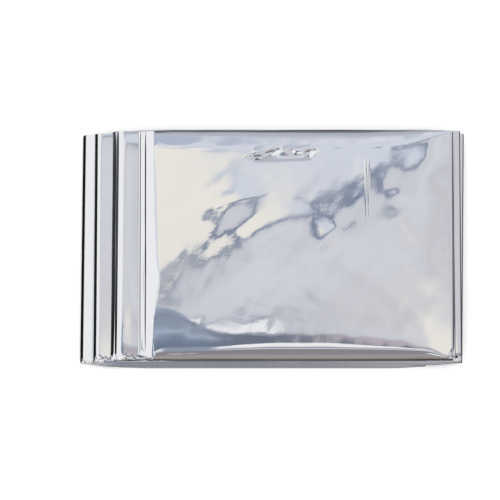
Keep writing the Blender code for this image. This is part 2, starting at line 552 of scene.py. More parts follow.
def joint_columns(ply: int, steps: int) -> list[Columns]:
    """Lists the places round the edge where a ply turns into the next.

    Args:
        ply: the first of the two plies.
        steps: how many steps the turn takes.

    Returns:
        The places, without the ends of the turn.
    """
    first, second = ply_offset(ply), ply_offset(ply + 1)
    middle, radius = (first + second) / 2, (first - second) / 2
    columns = []
    for step in range(1, steps):
        angle = math.pi * step / steps
        over = abs(radius) * math.sin(angle)
        place = (1.0, 1.0, over, 0.0) if ply % 2 == 0 else (0.0, 0.0, 0.0, over)
        offset = middle + radius * math.cos(angle)
        columns.append(Columns(*place, offset, ply // 2, (ply + 1) // 2, (ply + 1) * STRIP_WIDTH))
    return columns


def gathered(columns: list[Columns]) -> Columns:
    """The places as arrays."""
    return Columns(*(np.array(values) for values in zip(*columns)))


class Face(NamedTuple):
    """x and z of the outer and the inner ply round a turn, against the share of the way round."""

    share: np.ndarray
    outer: tuple[np.ndarray, np.ndarray]
    inner: tuple[np.ndarray, np.ndarray]

    def at(self, share: float) -> tuple[Pair, Pair]:
        """The outer and the inner point at a share of the way round."""
        values = [float(np.interp(share, self.share, part)) for part in (*self.outer, *self.inner)]
        return tuple(values[:2]), tuple(values[2:])


@dataclass
class Course:
    """Where the doubled strip runs: back and forth in layers, round a fold at each end."""

    relief: Relief
    lip_trace: Trace = field(init=False)
    faces: dict[int, Face] = field(init=False)

    def __post_init__(self) -> None:
        """Traces the lip and the faces of the folds."""
        self.lip_trace = LIP.trace()
        self.faces = {turn: self.face(turn) for turn in range(1, LAYERS)}

    def reach(self, fold: int) -> float:
        """Finds the outermost x of a fold.

        Args:
            fold: the fold's number.

        Returns:
            The x. The hidden folds share what the others leave of the strip's length.
        """
        if FOLDS[fold].reach != HIDDEN:
            return FOLDS[fold].reach
        shown = sum(
            self.flat_reach(number, abs(other.reach)) * (2 if 0 < number < LAYERS else 1)
            for number, other in enumerate(FOLDS)
            if other.reach != HIDDEN
        )
        hidden = [other for other in FOLDS if other.reach == HIDDEN]
        flat = (STRIP_LENGTH - shown - TOP * TURN_LENGTH) / (2 * len(hidden))
        return flat + TURN_RADIUS + HALF * hidden[0].crush

    @staticmethod
    def flat_reach(fold: int, reach: float) -> float:
        """How far a layer's middle line runs flat, short of the outermost reach of its fold."""
        return reach - (TURN_RADIUS + HALF * FOLDS[fold].crush if 0 < fold < LAYERS else 0.0)

    def face(self, turn: int) -> Face:
        """Traces the outer and inner plies round one turn.

        Args:
            turn: the fold's number; even ones are on the left.

        Returns:
            Their courses.
        """
        crushed = STRIP_THICKNESS * FOLDS[turn].crush
        trace = FACES.get(turn, ROUND_FACE).trace()
        low = (turn - 1) * LAYER_PITCH + HALF
        z = low - HALF * FOLDS[turn].crush + trace.aside * (LAYER_PITCH + crushed) / trace.aside[-1]
        side = -1 if turn % 2 == 0 else 1
        x = self.reach(turn) - side * (trace.forward - trace.forward.min())
        share = trace.distance / trace.distance[-1]
        radius = (LAYER_PITCH - crushed) / 2
        centre = self.reach(turn) - side * (INNER_TURN_INSET.get(turn, ROUND_TURN_INSET) + radius)
        inner_x = centre + side * radius * np.sin(np.pi * share)
        inner_z = low + TURN_RADIUS - radius * np.cos(np.pi * share)
        return Face(share, (x, z), (inner_x, inner_z))

    def turn_row(self, turn: int, share: float) -> Row:
        """Works out the cross section at a place round a turn.

        Args:
            turn: the fold's number.
            share: share of the way round it.

        Returns:
            The cross section.
        """
        fold = FOLDS[turn]
        outer, inner = self.faces[turn].at(share)
        left = turn % 2 == 0
        return Row(
            inner_side=inner if left else outer,
            outer_side=outer if left else inner,
            lean=fold.lean,
            y_back=fold.back,
            y_front=mix(fold.front_low, fold.front_high, share),
            path=turn * LAYER_STRIDE,
            base=(turn - 1) * LAYER_PITCH + HALF * (1 - fold.crush),
            pinch=PINCHES.get(turn, 0.0) * (1 - share),
        )

    def layer_row(self, layer: int, share: float) -> Row:
        """Works out the cross section at a place along a layer.

        Args:
            layer: the layer, from 0 at the bottom.
            share: share of the way along it, the way that the strip runs.

        Returns:
            The cross section.
        """
        direction = 1 if layer % 2 == 0 else -1
        middle = HALF + layer * LAYER_PITCH
        first, last = FOLDS[layer], FOLDS[layer + 1]
        start, end = (first.reach,) * 2, (last.reach - HALF * last.crush,) * 2
        if layer > 0:
            row = self.turn_row(layer, 1.0)
            start = (row.inner_side[0], row.outer_side[0])
        if layer < TOP:
            row = self.turn_row(layer + 1, 0.0)
            end = (row.inner_side[0], row.outer_side[0])
        inner_x, outer_x = mix(start[0], end[0], share), mix(start[1], end[1], share)
        length = abs(end[1] - start[1])
        nearest = first if share < 0.5 else last
        fold_front = nearest.front_high if share < 0.5 else nearest.front_low
        ease = float(smooth(min(share, 1 - share) * length / FOLD_EASE))
        half = HALF * mix(nearest.crush, 1.0, ease)
        edges = LAYER_EDGES[layer]
        return Row(
            inner_side=(inner_x, middle - direction * half),
            outer_side=(outer_x, middle + direction * half),
            lean=mix(first.lean, last.lean, share),
            y_back=mix(nearest.back, edges.back, ease),
            y_front=mix(fold_front, edges.front, ease),
            path=layer * LAYER_STRIDE + share * length,
            on_top=layer == TOP,
        )

    def end_row(self, share: float) -> Row:
        """Works out the cross section at a place round the strip's doubled end.

        Args:
            share: share of the way from its top to its underside.

        Returns:
            The cross section.
        """
        last = FOLDS[-1]
        radius = HALF * last.crush
        centre_x = last.reach - radius
        angle = math.pi * share
        dx, dz = radius * math.sin(angle), radius * math.cos(angle)
        return Row(
            inner_side=(centre_x - dx, TOP_MIDDLE - dz),
            outer_side=(centre_x + dx, TOP_MIDDLE + dz),
            lean=last.lean,
            y_back=last.back,
            y_front=last.front_low,
            path=LAYERS * LAYER_STRIDE,
            on_top=True,
        )

    def lip(
        self, row: Row, x: np.ndarray, z: np.ndarray, flat_y: np.ndarray, cols: Columns, back: np.ndarray
    ) -> tuple[np.ndarray, np.ndarray]:
        """Bends the top layer over its front lip.

        Args:
            row: the cross section.
            x: x of its points.
            z: z of its points, lying flat.
            flat_y: their y, lying flat.
            cols: their places across the sheet.
            back: y of each ply's back end.

        Returns:
            y and z of the points.
        """
        left = (x - LIP_FADE_LEFT[0]) / (LIP_FADE_LEFT[1] - LIP_FADE_LEFT[0])
        right = (x - LIP_FADE_RIGHT[0]) / (LIP_FADE_RIGHT[1] - LIP_FADE_RIGHT[0])
        strength = smooth(left) * smooth(right)
        size = np.maximum(strength, LIP_LEAST)
        trace = self.lip_trace
        length, last = trace.distance[-1], trace.heading[-1]
        start = row.y_front + size * trace.forward[-1] + HALF * math.sin(last)
        gone = cols.lip * (length * size - self.setback(row, cols.front_joint) - NOSE) + cols.over_front
        share = np.minimum(gone / size, length)
        beyond = gone - share * size
        angle = np.interp(share, trace.distance, trace.heading)
        reach = np.interp(share, trace.distance, trace.forward) * size + beyond * math.cos(last)
        fall = np.interp(share, trace.distance, trace.aside) * size + beyond * math.sin(last)
        proud = z - TOP_MIDDLE
        on_lip = cols.lip > 0
        y = np.where(on_lip, start - reach - proud * np.sin(angle), mix(back, start, cols.flat))
        new_z = np.where(on_lip, TOP_MIDDLE - fall + proud * np.cos(angle), z)
        rolled = smooth(strength / LIP_LEAST)
        return mix(flat_y, y, rolled), mix(z, new_z, rolled)

    @staticmethod
    def setback(row: Row, joint: np.ndarray) -> np.ndarray:
        """How far joints lie short of the strip's edge, by number; the outermost one, number 0, doesn't."""
        wave = sum(np.sin(joint * a + row.path * b + start) for a, b, start in SETBACK_WAVES)
        return np.where(joint == 0, 0.0, 1.0) * SETBACK * (len(SETBACK_WAVES) + wave)

    def place(self, row: Row, cols: Columns, side: Half, creased: bool) -> np.ndarray:
        """Puts one cross section of the sheet in space.

        Args:
            row: the cross section of the strip.
            cols: the places across the sheet.
            side: which half of the strip the bundle is on.
            creased: whether the top ply's own creases show.

        Returns:
            An array of points.
        """
        share = side * cols.offset / STRIP_THICKNESS + 0.5
        x = mix(row.inner_side[0], row.outer_side[0], share)
        z = mix(row.inner_side[1], row.outer_side[1], share)
        back = row.y_back - NOSE - self.setback(row, cols.back_joint + BACK_JOINTS) + cols.over_back
        front = row.y_front + NOSE + self.setback(row, cols.front_joint) - cols.over_front
        lip_start = row.y_front + LIP_ZONE
        y = np.where(cols.lip > 0, mix(lip_start, front, cols.lip), mix(back, lip_start, cols.flat))
        x = x + row.lean * ((row.y_back - y) / (row.y_back - row.y_front) - 0.5)
        if row.on_top:
            y, z = self.lip(row, x, z, y, cols, back)
        if row.pinch > 0:
            kept = np.clip((y - row.y_front) / row.pinch, 0.0, 1.0)
            z = row.base + (z - row.base) * mix(PINCHED, 1.0, kept)
        relief = self.relief
        share_up = np.clip(z / PACK_HEIGHT, 0.0, None)
        lift = relief.swell(x, y) * share_up**relief.crown_fade
        lift = lift + relief.edges(x, y) * share_up**relief.edge_fade
        lift = lift + relief.bevel(x, y) * smooth((z - TOP * LAYER_PITCH + HALF) / STRIP_THICKNESS)
        z = z + np.where(z > LAYER_PITCH, lift, 0.0)
        if creased:
            z = z + relief.detail(x, y)
        return np.stack([x, y, z], axis=1)


class Station(NamedTuple):
    """A cross section, the half of the strip that the film is on there, and its place along the sheet."""

    row: Row
    side: Half
    along: float


@dataclass
class FilmBand:
    """A stretch of the sheet: some plies wide and some cross sections long."""

    course: Course
    columns: Columns
    stations: list[Station]
    creased: bool = False

    def points(self) -> np.ndarray:
        """All its points, by station and column."""
        place = self.course.place
        return np.stack([place(row, self.columns, side, self.creased) for row, side, _ in self.stations])

    def flat(self) -> np.ndarray:
        """The same points on the flat sheet, as shares of its length."""
        along = np.array([station.along for station in self.stations])[:, None]
        return np.stack(np.broadcast_arrays(self.columns.width / SHEET_LENGTH, along / SHEET_LENGTH), axis=-1)


def film_mesh(name: str, bands: list[FilmBand]) -> bpy.types.Mesh:
    """Makes one mesh from bands of film, with the flat sheet as its map.

    Args:
        name: the mesh's name.
        bands: the bands, which may meet.

    Returns:
        The mesh, in metres.
    """
    points, quads, maps = [], [], []
    first = 0
    for band in bands:
        grid = band.points()
        rows, cols = grid.shape[:2]
        index = np.arange(rows * cols).reshape(rows, cols) + first
        corners = (index[:-1, :-1], index[1:, :-1], index[1:, 1:], index[:-1, 1:])
        quads.append(np.stack(corners, axis=-1).reshape(-1, 4))
        maps.append(band.flat().reshape(-1, 2))
        points.append(grid.reshape(-1, 3))
        first += rows * cols
    points, quads, maps = np.concatenate(points) * MM, np.concatenate(quads), np.concatenate(maps)
    mesh = bpy.data.meshes.new(name)
    mesh.vertices.add(len(points))
    mesh.vertices.foreach_set("co", points.astype(np.float32).ravel())
    mesh.loops.add(quads.size)
    mesh.loops.foreach_set("vertex_index", quads.astype(np.int32).ravel())
    mesh.polygons.add(len(quads))
    mesh.polygons.foreach_set("loop_start", np.arange(0, quads.size, 4, dtype=np.int32))
    mesh.update(calc_edges=True)
    layer = mesh.uv_layers.new(name="sheet")
    layer.data.foreach_set("uv", maps[quads.ravel()].astype(np.float32).ravel())
    mesh.shade_smooth()
    mesh.validate()
    return mesh


class Span(NamedTuple):
    """A stretch where places lie closer together."""

    start: float
    end: float
    step: float


def graded(start: float, end: float, step: float, spans: tuple[Span, ...], samples: int = 2000) -> np.ndarray:
    """Spreads places from start up to end, both kept.

    Args:
        start: the first place.
        end: the last place, the larger.
        step: the usual distance between two.
        spans: stretches with a distance of their own.
        samples: how finely the way is looked at.

    Returns:
        The places, rising.
    """
    fine = np.linspace(start, end, samples)
    pace = np.full(fine.shape, step)
    for span in spans:
        pace = np.where((fine >= span.start) & (fine <= span.end), np.minimum(pace, span.step), pace)
    count = np.concatenate([[0.0], np.cumsum(np.diff(fine) / pace[1:])])
    return np.interp(np.linspace(0.0, count[-1], max(1, round(count[-1])) + 1), count, fine)


class Pace(NamedTuple):
    """Distances between cross sections along a layer: the usual one, and the one near its folds."""

    usual: float
    near_fold: float


@dataclass(frozen=True)
class FilmMesher:
    """Divides the folded sheet into bands."""

    course: Course
    top_step: float = 0.55
    top_spans: tuple[Span, ...] = (Span(30.5, 34.0, 0.22), Span(-7.0, 15.0, 0.42))
    across_step: float = 0.56
    across_spans: tuple[Span, ...] = (Span(29.8, 34.6, 0.22), Span(-34.0, -30.0, 0.5))
    top_lip_steps: int = 14
    top_turn_steps: int = 44
    top_end_steps: int = 12
    seam: tuple[float, ...] = (0.95, 0.98, 1.0)  # shares of the layer below the top; the top band ends there
    seam_gap: float = 0.1  # the rest of that ply keeps no cross section nearer to the seam
    cover_pace: Pace = Pace(9.0, 2.5)
    cover_back: tuple[float, ...] = (0.0, 0.01, 0.03)  # shares from the back edge, where it is finest
    cover_flat: tuple[float, float, int] = (0.06, 1.0, 28)  # and from there on: first, last and how many
    cover_lip_steps: int = 10
    cover_joint_steps: int = 6
    left_turn_steps: int = 26
    right_turn_steps: int = 14
    hidden_turn_steps: int = 6
    core_pace: Pace = Pace(30.0, 5.0)
    core_flat: tuple[float, ...] = (0.0, 0.1, 1.0)
    core_lip_steps: int = 1
    core_top_pace: Pace = Pace(14.0, 2.5)
    core_top_flat: tuple[float, ...] = (0.0, 0.02, 0.5, 1.0)
    core_top_lip_steps: int = 7
    core_joint_steps: int = 3
    core_last_turn_steps: int = 8
    core_end_steps: int = 6

    def walk(self, layer: int, places: np.ndarray, side: Half) -> list[Station]:
        """Lists stations along a layer.

        Args:
            layer: the layer.
            places: shares of the way along it.
            side: which half of the strip.

        Returns:
            The stations, the way that the strip runs.
        """
        start, length = self.layer_start(layer), self.layer_length(layer)
        stations = []
        for share in places:
            row = self.course.layer_row(layer, float(share))
            stations.append(Station(row, side, self.sheet(start + share * length, side)))
        return stations

    def turn(self, turn: int, steps: int, side: Half) -> list[Station]:
        """Lists stations round a turn.

        Args:
            turn: the fold's number.
            steps: how many steps it takes.
            side: which half of the strip.

        Returns:
            The stations without the turn's ends, the way that the strip runs.
        """
        end = self.layer_start(turn)
        stations = []
        for step in range(1, steps):
            share = step / steps
            row = self.course.turn_row(turn, share)
            stations.append(Station(row, side, self.sheet(end - TURN_LENGTH * (1 - share), side)))
        return stations

    def end(self, steps: int, first: int, last: int) -> list[Station]:
        """Lists stations round the strip's doubled end, upwards.

        Args:
            steps: how many steps it takes.
            first: the first step, counted from the top.
            last: the last step.

        Returns:
            The stations.
        """
        return [
            Station(self.course.end_row(step / steps), Half.OUTER, STRIP_LENGTH + (steps - step) / steps)
            for step in range(first, last - 1, -1)
        ]

    def layer_start(self, layer: int) -> float:
        """Place along the strip where a layer starts."""
        return sum(self.layer_length(below) + TURN_LENGTH for below in range(layer))

    def layer_length(self, layer: int) -> float:
        """Length of a layer between its folds."""
        first, last = (self.course.layer_row(layer, share) for share in (0.0, 1.0))
        return abs(last.outer_side[0] + last.inner_side[0] - first.outer_side[0] - first.inner_side[0]) / 2

    @staticmethod
    def sheet(path: float, side: Half) -> float:
        """Place along the flat sheet."""
        return path if side is Half.INNER else SHEET_LENGTH - path

    def along(self, layer: int, pace: Pace, side: Half) -> list[Station]:
        """Lists stations along a layer, closer together near its folds.

        Args:
            layer: the layer.
            pace: how far apart they are.
            side: which half of the strip.

        Returns:
            The stations, the way that the strip runs.
        """
        length = self.layer_length(layer)
        spans = (Span(0.0, FOLD_EASE, pace.near_fold), Span(length - FOLD_EASE, length, pace.near_fold))
        return self.walk(layer, graded(0.0, length, pace.usual, spans) / length, side)

    def top_band(self) -> FilmBand:
        """Builds the ply on top, its front nose, and the face it comes up from.

        Returns:
            The band, from the strip's doubled end to the seam.
        """
        start, end = (self.course.layer_row(TOP, share).outer_side[0] for share in (0.0, 1.0))
        places = (graded(start, end, self.top_step, self.top_spans) - start) / (end - start)
        stations = self.end(self.top_end_steps, self.top_end_steps, 1)
        stations += self.walk(TOP, places, Half.OUTER)[::-1]
        stations += self.turn(TOP, self.top_turn_steps, Half.OUTER)[::-1]
        stations += self.walk(TOP - 1, np.array(self.seam), Half.OUTER)[::-1]
        back, front = LAYER_EDGES[TOP].back, LAYER_EDGES[TOP].front + LIP_ZONE
        flats = (back - graded(front, back, self.across_step, self.across_spans)[::-1]) / (back - front)
        columns = ply_columns(0, flats, np.linspace(0, 1, self.top_lip_steps + 1)[1:])
        columns += joint_columns(0, self.cover_joint_steps)
        return FilmBand(self.course, gathered(columns), stations, creased=True)

    def cover_bands(self) -> list[FilmBand]:
        """Builds the rest of the outermost ply.

        Returns:
            A band for each half of the strip.
        """
        flats = np.concatenate([self.cover_back, np.linspace(*self.cover_flat)])
        columns = ply_columns(0, flats, np.linspace(0, 1, self.cover_lip_steps + 1)[1:])
        columns = gathered(columns + joint_columns(0, self.cover_joint_steps))
        inner, outer = self.cover_stations(Half.INNER), self.cover_stations(Half.OUTER)
        seam = self.walk(TOP - 1, np.array(self.seam[:1]), Half.OUTER)
        outer = [station for station in outer if station.along > seam[0].along + self.seam_gap] + seam
        return [FilmBand(self.course, columns, inner), FilmBand(self.course, columns, outer[::-1])]

    def cover_stations(self, side: Half) -> list[Station]:
        """Lists stations along the whole strip, closest together where the half is on the outside of a turn.

        Args:
            side: which half of the strip.

        Returns:
            The stations, the way that the strip runs.
        """
        stations = self.along(0, self.cover_pace, side)
        for layer in range(1, LAYERS):
            left = layer % 2 == 0
            steps = self.left_turn_steps if left else self.right_turn_steps
            shown = left == (side is Half.OUTER)
            stations += self.turn(layer, steps if shown else self.hidden_turn_steps, side)
            stations += self.along(layer, self.cover_pace, side)
        return stations

    def core_bands(self) -> list[FilmBand]:
        """Builds the plies inside, behind the outermost one.

        Returns:
            Two bands for each half of the strip: up to the top layer, and the top layer.
        """
        below_columns = self.core_columns(self.core_flat, self.core_lip_steps)
        top_columns = self.core_columns(self.core_top_flat, self.core_top_lip_steps)
        bands = []
        for side in Half:
            below = self.along(0, self.core_pace, side)
            for layer in range(1, TOP):
                below += self.turn(layer, self.hidden_turn_steps, side)
                below += self.along(layer, self.core_pace, side)
            below += self.turn(TOP, self.core_last_turn_steps, side)
            below += self.walk(TOP, np.array([0.0]), side)
            top = self.along(TOP, self.core_top_pace, side)
            if side is Half.OUTER:
                below, top = below[::-1], top[::-1]
            else:
                top += self.end(self.core_end_steps, self.core_end_steps - 1, 0)
            bands += [FilmBand(self.course, below_columns, below), FilmBand(self.course, top_columns, top)]
        return bands

    def core_columns(self, flats: tuple[float, ...], lip_steps: int) -> Columns:
        """Lists the places across all the plies inside.

        Args:
            flats: shares from the back edge to the start of the lip, rising.
            lip_steps: how many steps each ply takes down the lip.

        Returns:
            The places.
        """
        columns = []
        for ply in range(1, PLIES_ACROSS):
            columns += ply_columns(ply, flats, np.linspace(0, 1, lip_steps + 1)[1:])
            if ply < PLIES_ACROSS - 1:
                columns += joint_columns(ply, self.core_joint_steps)
        return gathered(columns)

    def bands(self) -> list[FilmBand]:
        """Every band of the sheet."""
        return [self.top_band(), *self.cover_bands(), *self.core_bands()]


Input = float | tuple | np.ndarray | bpy.types.NodeSocket


def linked(
    tree: bpy.types.NodeTree, kind: str, sockets: dict[str | int, Input] | None = None, **settings: str
) -> bpy.types.Node:
    """Adds a node.

    Args:
        tree: the tree it goes in.
        kind: its type.
        sockets: values or output sockets for its inputs, by name or number.
        **settings: its properties.

    Returns:
        The node.
    """
    node = tree.nodes.new(kind)
    for name, value in settings.items():
        setattr(node, name, value)
    for name, value in (sockets or {}).items():
        if isinstance(value, bpy.types.NodeSocket):
            tree.links.new(value, node.inputs[name])
        else:
            node.inputs[name].default_value = value
    return node


def maths(tree: bpy.types.NodeTree, operation: str, *values: Input) -> bpy.types.NodeSocket:
    """Adds a maths node and returns its result."""
    return linked(tree, "ShaderNodeMath", dict(enumerate(values)), operation=operation).outputs[0]


class Easing(Enum):
    """How a mapped value goes from one end of its range to the other."""

    EVEN = "LINEAR"
    SOFT = "SMOOTHSTEP"


def ranged(
    tree: bpy.types.NodeTree, value: Input, source: Pair, target: Pair, easing: Easing = Easing.EVEN
) -> bpy.types.NodeSocket:
    """Maps a value from one range to another, held at its ends."""
    sockets = dict(enumerate((value, *source, *target)))
    return linked(tree, "ShaderNodeMapRange", sockets, interpolation_type=easing.value).outputs[0]


def noise(tree: bpy.types.NodeTree, size: float, detail: float) -> bpy.types.NodeSocket:
    """Even noise that stays with the object, with blotches of a size in metres."""
    at = linked(tree, "ShaderNodeTexCoord").outputs["Object"]
    return linked(tree, "ShaderNodeTexNoise", {"Vector": at, "Scale": 1 / size, "Detail": detail}).outputs[0]


@dataclass(frozen=True)
class FilmFinish:
    """Bare metallised polyester film: a mirror with a faint haze and grain, sized in metres."""

    colour: Colour = (0.86, 0.865, 0.88)
    roughness: Pair = (0.03, 0.10)
    haze_size: float = 0.02
    haze_range: Pair = (0.35, 0.7)  # the noise between which the roughness goes from least to most
    grain_size: float = 0.0011
    grain_height: float = 0.0000036

    def material(self) -> bpy.types.Material:
        """Builds the material.

        Returns:
            The material.
        """
        material = bpy.data.materials.new("foil film")
        material.use_nodes = True
        tree = material.node_tree
        shader = tree.nodes["Principled BSDF"]
        shader.inputs["Metallic"].default_value = 1.0
        shader.inputs["Base Color"].default_value = (*self.colour, 1.0)
        rough = ranged(tree, noise(tree, self.haze_size, 3.0), self.haze_range, self.roughness)
        tree.links.new(rough, shader.inputs["Roughness"])
        grain = noise(tree, self.grain_size, 2.0)
        sockets = {"Height": grain, "Distance": self.grain_height, "Strength": 1.0}
        bump = linked(tree, "ShaderNodeBump", sockets).outputs[0]
        tree.links.new(bump, shader.inputs["Normal"])
        return material


@dataclass(frozen=True)
class FloorFinish:
    """Matt white paper with faint mottling."""

    pale: float = 0.9
    mottle: float = 0.012
    mottle_size: float = 1 / 30
    roughness: float = 0.9

    def material(self) -> bpy.types.Material:
        """Builds the material.

        Returns:
            The material.
        """
        material = bpy.data.materials.new("studio floor")
        material.use_nodes = True
        tree = material.node_tree
        shader = tree.nodes["Principled BSDF"]
        shader.inputs["Roughness"].default_value = self.roughness
        shader.inputs["Specular IOR Level"].default_value = 0.0
        tones = (self.pale - self.mottle, self.pale + self.mottle)
        colour = ranged(tree, noise(tree, self.mottle_size, 2.0), (0.0, 1.0), tones)
        tree.links.new(colour, shader.inputs["Base Color"])
        return material


@dataclass(frozen=True)
class FoilBlanket:
    """The folded sheet, as one piece."""

    relief: Relief
    finish: FilmFinish = FilmFinish()
    name: str = "foil_film"

    def build(self) -> bpy.types.Object:
        """Makes the sheet on its folds.

        Returns:
            The piece, without its finish.
        """
        mesher = FilmMesher(Course(self.relief))
        piece = bpy.data.objects.new(self.name, film_mesh(self.name, mesher.bands()))
        bpy.context.scene.collection.objects.link(piece)
        return piece

    def dress(self, piece: bpy.types.Object) -> None:
        """Gives the sheet its finish."""
        piece.data.materials.append(self.finish.material())

    def declare(self, piece: bpy.types.Object) -> None:
        """Says what the sheet is part of, and how it is held.

        Args:
            piece: the sheet.
        """
        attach(piece, BODY)
        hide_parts(NODE)


def tone(red: float, green: float, blue: float) -> Colour:
    """Light that shows as a tone given in steps of 255, by the usual curve of a screen."""
    shares = (step / 255 for step in (red, green, blue))
    return tuple(share / 12.92 if share <= 0.04045 else ((share + 0.055) / 1.055) ** 2.4 for share in shares)


@dataclass(frozen=True)
class Patch:
    """A soft-edged rectangle of light or dark in the surroundings.

    It faces straight down, from above, until it is swung to the right and then to the front. Its size is
    half its width and half its height.
    """

    right: float
    front: float
    size: Pair
    colour: Colour
    soft: float  # how far its edge reaches out and in
    roll: float = 0.0

    def axes(self) -> np.ndarray:
        """Works out which way it faces.

        Returns:
            Directions of its width, its height and its middle, as rows.
        """
        angles = [math.radians(angle) for angle in (self.roll, self.right, self.front)]
        (c, s), (c1, s1), (c2, s2) = ((math.cos(angle), math.sin(angle)) for angle in angles)
        rolled = np.array(((c, s, 0.0), (-s, c, 0.0), (0.0, 0.0, 1.0)))
        swung = np.array(((c1, 0.0, -s1), (0.0, 1.0, 0.0), (s1, 0.0, c1)))
        tipped = np.array(((1.0, 0.0, 0.0), (0.0, c2, s2), (0.0, -s2, c2)))
        return rolled @ swung @ tipped

    def over(
        self, tree: bpy.types.NodeTree, way: bpy.types.NodeSocket, under: bpy.types.NodeSocket
    ) -> bpy.types.NodeSocket:
        """Lays the patch over what is there.

        Args:
            tree: the world's tree.
            way: the direction looked in.
            under: the colour so far.

        Returns:
            The colour with the patch laid over it.
        """
        width, height, middle = (
            linked(tree, "ShaderNodeVectorMath", {0: way, 1: axis}, operation="DOT_PRODUCT").outputs["Value"]
            for axis in self.axes()
        )
        soft = math.radians(self.soft)
        masks = []
        for part, extent in zip((width, height), self.size):
            angle = maths(tree, "ABSOLUTE", maths(tree, "ARCTAN2", part, middle))
            edge = math.radians(extent)
            masks.append(ranged(tree, angle, (edge - soft, edge + soft), (1.0, 0.0), Easing.SOFT))
        # A colour mix has its factor at socket 0, its colours at 6 and 7 and its result at 2.
        sockets = {0: maths(tree, "MULTIPLY", *masks), 6: under, 7: (*self.colour, 1.0)}
        return linked(tree, "ShaderNodeMix", sockets, data_type="RGBA").outputs[2]


@dataclass(frozen=True)
class Studio:
    """The pale floor, the soft light and the camera."""

    patches: tuple[Patch, ...]
    dark: Colour
    fill: float = 1.6
    floor_half_width: float = 3.0  # in metres, as are the camera's distance and clip
    elevation: float = 82.0
    distance: float = 2.25
    clip: Pair = (0.05, 20.0)
    aim_x: float = -8.0
    aim_up: float = 0.07
    across: float = 173.6  # how much is seen from side to side
    sensor: float = 36.0

    def floor(self) -> bpy.types.Object:
        """Lays the floor.

        Returns:
            The floor.
        """
        mesh = bpy.data.meshes.new("floor")
        half = self.floor_half_width
        corners = [(-half, -half, 0), (half, -half, 0), (half, half, 0), (-half, half, 0)]
        mesh.from_pydata(corners, [], [(0, 1, 2, 3)])
        floor = bpy.data.objects.new("floor", mesh)
        bpy.context.scene.collection.objects.link(floor)
        mesh.materials.append(FloorFinish().material())
        floor.visible_glossy = False
        return floor

    def light(self) -> None:
        """Surrounds the stage: the patches are seen in gloss, and plain light falls on the rest."""
        world = bpy.data.worlds.new("studio")
        bpy.context.scene.world = world
        world.use_nodes = True
        tree = world.node_tree
        tree.nodes.clear()
        way = linked(tree, "ShaderNodeTexCoord").outputs["Generated"]
        colour = linked(tree, "ShaderNodeRGB").outputs[0]
        colour.default_value = (*self.dark, 1.0)
        for patch in self.patches:
            colour = patch.over(tree, way, colour)
        seen = linked(tree, "ShaderNodeBackground", {"Color": colour, "Strength": 1.0}).outputs[0]
        white = (1.0, 1.0, 1.0, 1.0)
        plain = linked(tree, "ShaderNodeBackground", {"Color": white, "Strength": self.fill}).outputs[0]
        glossy = linked(tree, "ShaderNodeLightPath").outputs["Is Glossy Ray"]
        mixed = linked(tree, "ShaderNodeMixShader", {0: glossy, 1: plain, 2: seen}).outputs[0]
        linked(tree, "ShaderNodeOutputWorld", {"Surface": mixed})

    def camera(self) -> None:
        """Sets the camera up."""
        data = bpy.data.cameras.new("camera")
        camera = bpy.data.objects.new("camera", data)
        bpy.context.scene.collection.objects.link(camera)
        tilt = math.radians(self.elevation)
        up = (0.0, math.sin(tilt), math.cos(tilt))
        back = (0.0, -math.cos(tilt), math.sin(tilt))
        camera.location = (
            self.aim_x * MM,
            self.aim_up * MM * up[1] + back[1] * self.distance,
            self.aim_up * MM * up[2] + back[2] * self.distance,
        )
        camera.rotation_euler = (math.pi / 2 - tilt, 0.0, 0.0)
        data.sensor_width = self.sensor
        data.lens = self.sensor * self.distance / (self.across * MM)
        data.clip_start, data.clip_end = self.clip
        bpy.context.scene.camera = camera


CREAM = tone(246, 242, 233)
LILAC = tone(214, 215, 221)
SKY = tone(218, 223, 234)
GREY = tone(120, 123, 128)
STEEL = tone(186, 190, 200)
NAVY = tone(127, 139, 161)
HAZE = tone(146, 159, 176)
DEEP = tone(114, 122, 137)
PLUM = tone(192, 183, 192)
WHITE = tone(250, 250, 251)

